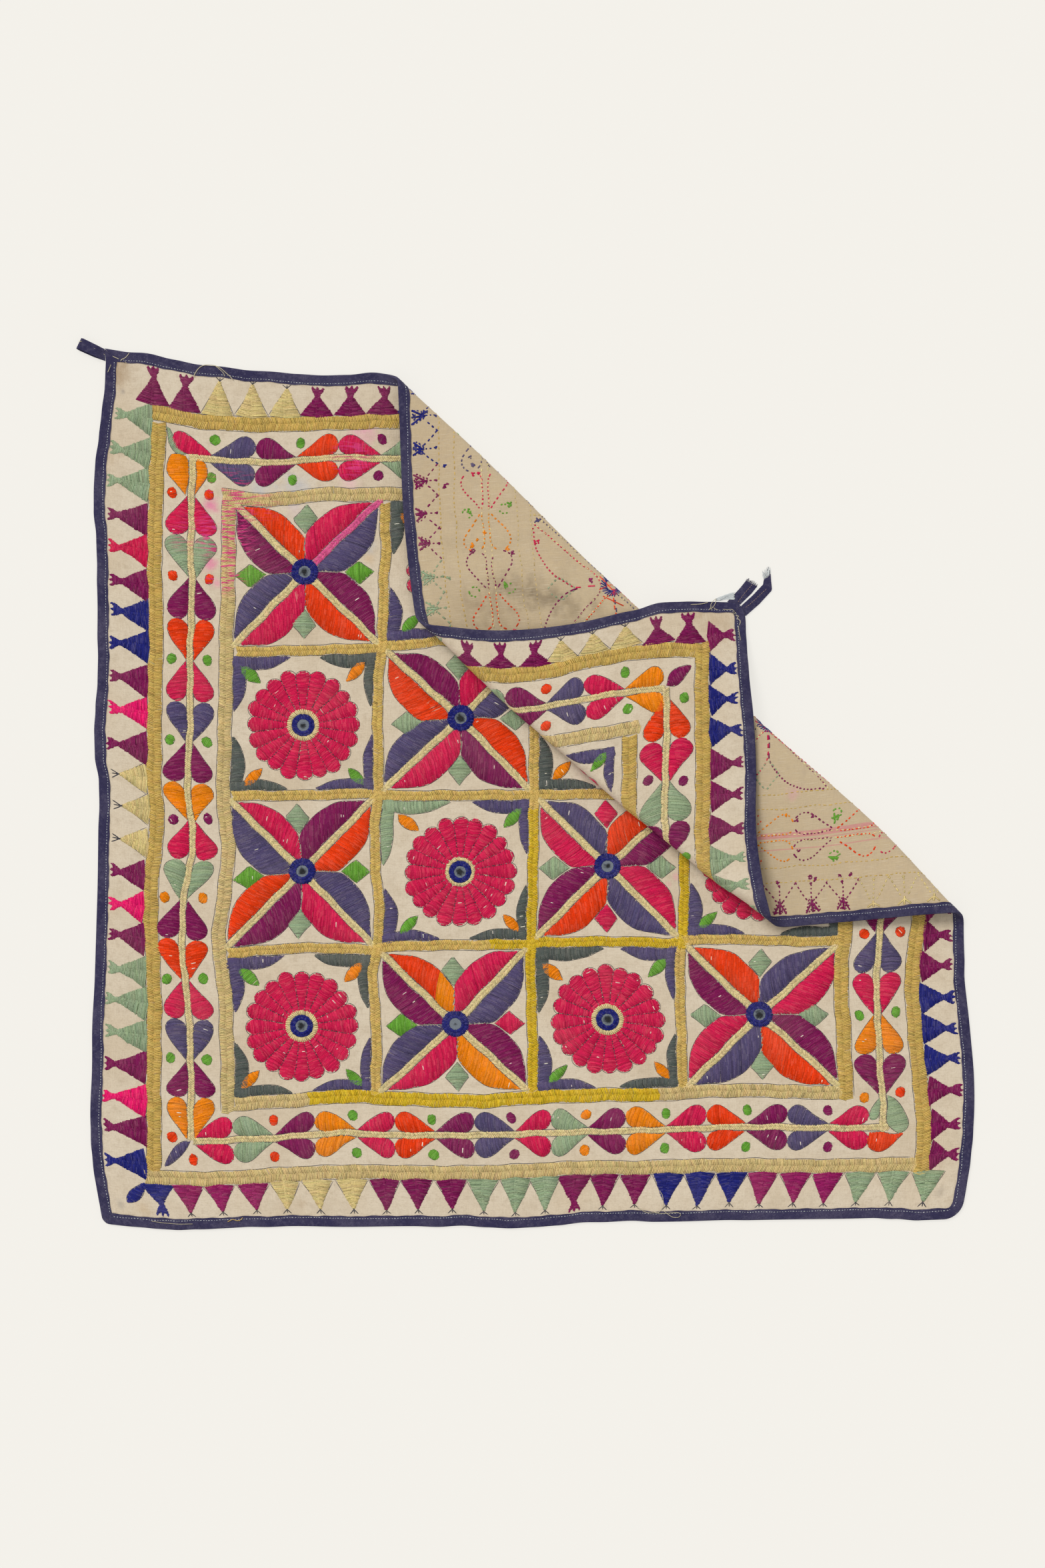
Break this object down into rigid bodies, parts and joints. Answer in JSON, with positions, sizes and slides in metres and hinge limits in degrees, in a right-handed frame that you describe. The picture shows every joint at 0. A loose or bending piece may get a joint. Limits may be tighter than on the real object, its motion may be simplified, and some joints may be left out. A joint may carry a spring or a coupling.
{
  "type": "embroidered mirror-work wall hanging",
  "caption": "Square embroidered cotton wall hanging with small round mirrors, tape binding and a hanging loop, lying flat with one corner folded back twice.",
  "frame": {"origin": "middle of the hanging's square, on the floor under the cloth", "axes": "+Z up from the floor, +X to the right and +Y up in the hanging's design; the folded corner is at +X +Y"},
  "size_m": [0.9844, 0.976, 0.0353],
  "materials": {
    "cotton": "plain-woven cotton, densely embroidered in cotton and floss",
    "tape": "folded slate-blue cotton tape",
    "mirror_glass": "small silvered glass disc, slightly clouded"
  },
  "bodies": {
    "root": {"ground_cloth": "cotton", "binding_top": "tape", "binding_right": "tape", "binding_bottom": "tape", "binding_left": "tape", "loop_tab": "tape", "broken_tab_short": "tape", "broken_tab_long": "tape", "mirror_r1_c1": "mirror_glass", "mirror_r1_c2": "mirror_glass", "mirror_r1_c3": "mirror_glass", "mirror_r1_c4": "mirror_glass", "mirror_r2_c1": "mirror_glass", "mirror_r2_c2": "mirror_glass", "mirror_r2_c3": "mirror_glass", "mirror_r2_c4": "mirror_glass", "mirror_r3_c1": "mirror_glass", "mirror_r3_c2": "mirror_glass", "mirror_r3_c3": "mirror_glass", "mirror_r3_c4": "mirror_glass", "mirror_r4_c1": "mirror_glass", "mirror_r4_c2": "mirror_glass", "mirror_r4_c3": "mirror_glass", "mirror_r4_c4": "mirror_glass"}
  },
  "joints": []
}
